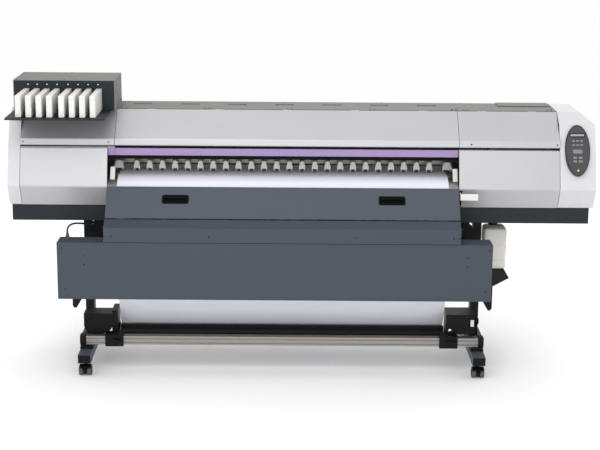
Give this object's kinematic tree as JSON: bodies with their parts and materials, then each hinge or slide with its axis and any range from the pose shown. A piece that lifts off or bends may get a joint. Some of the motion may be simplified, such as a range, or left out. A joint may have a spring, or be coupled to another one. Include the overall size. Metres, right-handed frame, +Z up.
{
  "type": "wide-format roll printer",
  "caption": "Wide-format roll-to-roll inkjet printer on a wheeled stand, with an ink rack, hinged covers, front dryer and media take-up.",
  "frame": {"origin": "on the floor, below the centre of the overall box", "axes": "+X to the right as the operator faces the machine, +Y to the back, +Z up"},
  "size_m": [2.8, 0.805, 1.396],
  "materials": {
    "silver_paint": "satin silver-grey powder coat",
    "silver_abs": "fine-textured moulded plastic",
    "charcoal_paint": "textured powder coat",
    "panel_paint": "textured powder coat",
    "dryer_paint": "textured powder coat",
    "warm_grey_paint": "satin powder coat",
    "black_paint": "satin powder coat",
    "black_plastic": "moulded",
    "key_plastic": "moulded",
    "carriage_plastic": "moulded",
    "white_plastic": "moulded",
    "bottle_plastic": "blow-moulded, translucent",
    "aluminium": "anodised extrusion",
    "steel": "ground",
    "media_vinyl": "printable vinyl",
    "window_tint": "tinted acrylic",
    "rubber": "moulded",
    "caster_tread": "moulded"
  },
  "bodies": {
    "frame": {"stand_column_left": "black_paint", "stand_column_right": "black_paint", "stand_foot_left": "charcoal_paint", "stand_foot_right": "charcoal_paint", "stand_crossbar": "black_paint", "guide_beam": "aluminium", "base_chassis": "charcoal_paint", "end_cap_left": "silver_abs", "end_cap_right": "silver_abs", "left_side_cover": "silver_paint", "right_lower_cover": "silver_paint", "top_plate": "warm_grey_paint", "rear_cover": "silver_paint", "platen": "aluminium", "heater_apron": "aluminium", "rear_feed_guide": "aluminium", "dryer_case": "dryer_paint", "dryer_hood": "dryer_paint", "ink_rack": "charcoal_paint", "ink_rack_cover": "warm_grey_paint", "control_panel": "black_plastic", "takeup_rail": "aluminium", "takeup_drive_unit": "black_plastic", "rear_roll_brackets": "black_paint", "bottle_holder": "black_paint", "media_web": "media_vinyl", "dryer_cable": "black_plastic", "cable_gland": "black_plastic", "cover_screws": "steel"},
    "front_cover": {"front_cover": "silver_paint", "front_window": "window_tint"},
    "right_cover": {"right_cover": "silver_paint"},
    "service_panel": {"service_panel": "panel_paint"},
    "clamp_lever": {"clamp_lever": "white_plastic"},
    "pinch_arms": {"pinch_arms": "white_plastic"},
    "pinch_wheels": {"pinch_wheels": "rubber"},
    "grit_roller": {"grit_roller": "steel"},
    "print_carriage": {"print_carriage": "carriage_plastic"},
    "takeup_core": {"takeup_core": "black_plastic"},
    "takeup_holder_left": {"takeup_holder_left": "black_plastic"},
    "media_roll": {"media_roll": "media_vinyl"},
    "waste_bottle": {"waste_bottle": "bottle_plastic"},
    "power_rocker": {"power_rocker": "white_plastic"},
    "keypad": {"keypad": "key_plastic"},
    "ink_cartridge_1": {"ink_cartridge_1": "white_plastic"},
    "ink_cartridge_2": {"ink_cartridge_2": "white_plastic"},
    "ink_cartridge_3": {"ink_cartridge_3": "white_plastic"},
    "ink_cartridge_4": {"ink_cartridge_4": "white_plastic"},
    "ink_cartridge_5": {"ink_cartridge_5": "white_plastic"},
    "ink_cartridge_6": {"ink_cartridge_6": "white_plastic"},
    "ink_cartridge_7": {"ink_cartridge_7": "white_plastic"},
    "ink_cartridge_8": {"ink_cartridge_8": "white_plastic"},
    "caster_housing_front_left": {"caster_housing_front_left": "black_plastic"},
    "caster_wheels_front_left": {"caster_wheels_front_left": "caster_tread"},
    "caster_housing_front_right": {"caster_housing_front_right": "black_plastic"},
    "caster_wheels_front_right": {"caster_wheels_front_right": "caster_tread"},
    "caster_housing_rear_left": {"caster_housing_rear_left": "black_plastic"},
    "caster_wheels_rear_left": {"caster_wheels_rear_left": "caster_tread"},
    "caster_housing_rear_right": {"caster_housing_rear_right": "black_plastic"},
    "caster_wheels_rear_right": {"caster_wheels_rear_right": "caster_tread"}
  },
  "joints": [
    {"name": "front_cover_hinge", "type": "hinge", "parent": "frame", "child": "front_cover", "pos_m": [0, -0.0175, 1.2465], "axis": [-1, 0, 0], "range_deg": [0, 70]},
    {"name": "right_cover_hinge", "type": "hinge", "parent": "frame", "child": "right_cover", "pos_m": [0.99, -0.0175, 1.2465], "axis": [-1, 0, 0], "range_deg": [0, 70]},
    {"name": "service_panel_hinge", "type": "hinge", "parent": "frame", "child": "service_panel", "pos_m": [-0.09, -0.325, 0.776], "axis": [1, 0, 0], "range_deg": [0, 90]},
    {"name": "clamp_lever_pivot", "type": "hinge", "parent": "frame", "child": "clamp_lever", "pos_m": [0.7545, -0.06, 0.878], "axis": [1, 0, 0], "range_deg": [0, 28]},
    {"name": "pinch_arm_lift", "type": "hinge", "parent": "frame", "child": "pinch_arms", "pos_m": [-0.09, 0.045, 1], "axis": [-1, 0, 0], "range_deg": [0, 6.2]},
    {"name": "pinch_wheel_spin", "type": "hinge", "parent": "pinch_arms", "child": "pinch_wheels", "pos_m": [-0.09, -0.015, 0.9547], "axis": [1, 0, 0], "continuous": true},
    {"name": "grit_roller_spin", "type": "hinge", "parent": "frame", "child": "grit_roller", "pos_m": [-0.09, -0.015, 0.93195], "axis": [1, 0, 0], "continuous": true},
    {"name": "carriage_travel", "type": "slide", "parent": "frame", "child": "print_carriage", "axis": [-1, 0, 0], "range_m": [0, 2.2]},
    {"name": "takeup_core_spin", "type": "hinge", "parent": "frame", "child": "takeup_core", "pos_m": [-0.09, -0.15, 0.165], "axis": [1, 0, 0], "continuous": true},
    {"name": "takeup_holder_slide", "type": "slide", "parent": "frame", "child": "takeup_holder_left", "axis": [-1, 0, 0], "range_m": [0, 0.06]},
    {"name": "media_roll_spin", "type": "hinge", "parent": "frame", "child": "media_roll", "pos_m": [-0.09, 0.2705, 0.42], "axis": [1, 0, 0], "continuous": true},
    {"name": "waste_bottle_pull", "type": "slide", "parent": "frame", "child": "waste_bottle", "axis": [0, -1, 0], "range_m": [0, 0.15]},
    {"name": "power_rocker_tilt", "type": "hinge", "parent": "frame", "child": "power_rocker", "pos_m": [0.832, -0.223, 0.243], "axis": [1, 0, 0], "range_deg": [0, 10]},
    {"name": "keypad_press", "type": "slide", "parent": "frame", "child": "keypad", "axis": [0, 0.9157, -0.4019], "range_m": [0, 0.0015], "stiffness_N_per_m": 2000, "springref_m": -0.0005},
    {"name": "ink_cartridge_1_pull", "type": "slide", "parent": "frame", "child": "ink_cartridge_1", "axis": [0, -1, 0], "range_m": [0, 0.3]},
    {"name": "ink_cartridge_2_pull", "type": "slide", "parent": "frame", "child": "ink_cartridge_2", "axis": [0, -1, 0], "range_m": [0, 0.3]},
    {"name": "ink_cartridge_3_pull", "type": "slide", "parent": "frame", "child": "ink_cartridge_3", "axis": [0, -1, 0], "range_m": [0, 0.3]},
    {"name": "ink_cartridge_4_pull", "type": "slide", "parent": "frame", "child": "ink_cartridge_4", "axis": [0, -1, 0], "range_m": [0, 0.3]},
    {"name": "ink_cartridge_5_pull", "type": "slide", "parent": "frame", "child": "ink_cartridge_5", "axis": [0, -1, 0], "range_m": [0, 0.3]},
    {"name": "ink_cartridge_6_pull", "type": "slide", "parent": "frame", "child": "ink_cartridge_6", "axis": [0, -1, 0], "range_m": [0, 0.3]},
    {"name": "ink_cartridge_7_pull", "type": "slide", "parent": "frame", "child": "ink_cartridge_7", "axis": [0, -1, 0], "range_m": [0, 0.3]},
    {"name": "ink_cartridge_8_pull", "type": "slide", "parent": "frame", "child": "ink_cartridge_8", "axis": [0, -1, 0], "range_m": [0, 0.3]},
    {"name": "caster_swivel_front_left", "type": "hinge", "parent": "frame", "child": "caster_housing_front_left", "pos_m": [-1.035, -0.305, 0.05], "axis": [0, 0, 1], "continuous": true},
    {"name": "caster_roll_front_left", "type": "hinge", "parent": "caster_housing_front_left", "child": "caster_wheels_front_left", "pos_m": [-1.035, -0.32, 0.025], "axis": [1, 0, 0], "continuous": true},
    {"name": "caster_swivel_front_right", "type": "hinge", "parent": "frame", "child": "caster_housing_front_right", "pos_m": [0.855, -0.305, 0.05], "axis": [0, 0, 1], "continuous": true},
    {"name": "caster_roll_front_right", "type": "hinge", "parent": "caster_housing_front_right", "child": "caster_wheels_front_right", "pos_m": [0.855, -0.32, 0.025], "axis": [1, 0, 0], "continuous": true},
    {"name": "caster_swivel_rear_left", "type": "hinge", "parent": "frame", "child": "caster_housing_rear_left", "pos_m": [-1.035, 0.345, 0.05], "axis": [0, 0, 1], "continuous": true},
    {"name": "caster_roll_rear_left", "type": "hinge", "parent": "caster_housing_rear_left", "child": "caster_wheels_rear_left", "pos_m": [-1.035, 0.36, 0.025], "axis": [1, 0, 0], "continuous": true},
    {"name": "caster_swivel_rear_right", "type": "hinge", "parent": "frame", "child": "caster_housing_rear_right", "pos_m": [0.855, 0.345, 0.05], "axis": [0, 0, 1], "continuous": true},
    {"name": "caster_roll_rear_right", "type": "hinge", "parent": "caster_housing_rear_right", "child": "caster_wheels_rear_right", "pos_m": [0.855, 0.36, 0.025], "axis": [1, 0, 0], "continuous": true}
  ],
  "couplings": [
    {"joint": "pinch_arm_lift", "follows": "clamp_lever_pivot", "ratio": 0.2143},
    {"joint": "pinch_wheel_spin", "follows": "grit_roller_spin", "ratio": -1.3333}
  ]
}
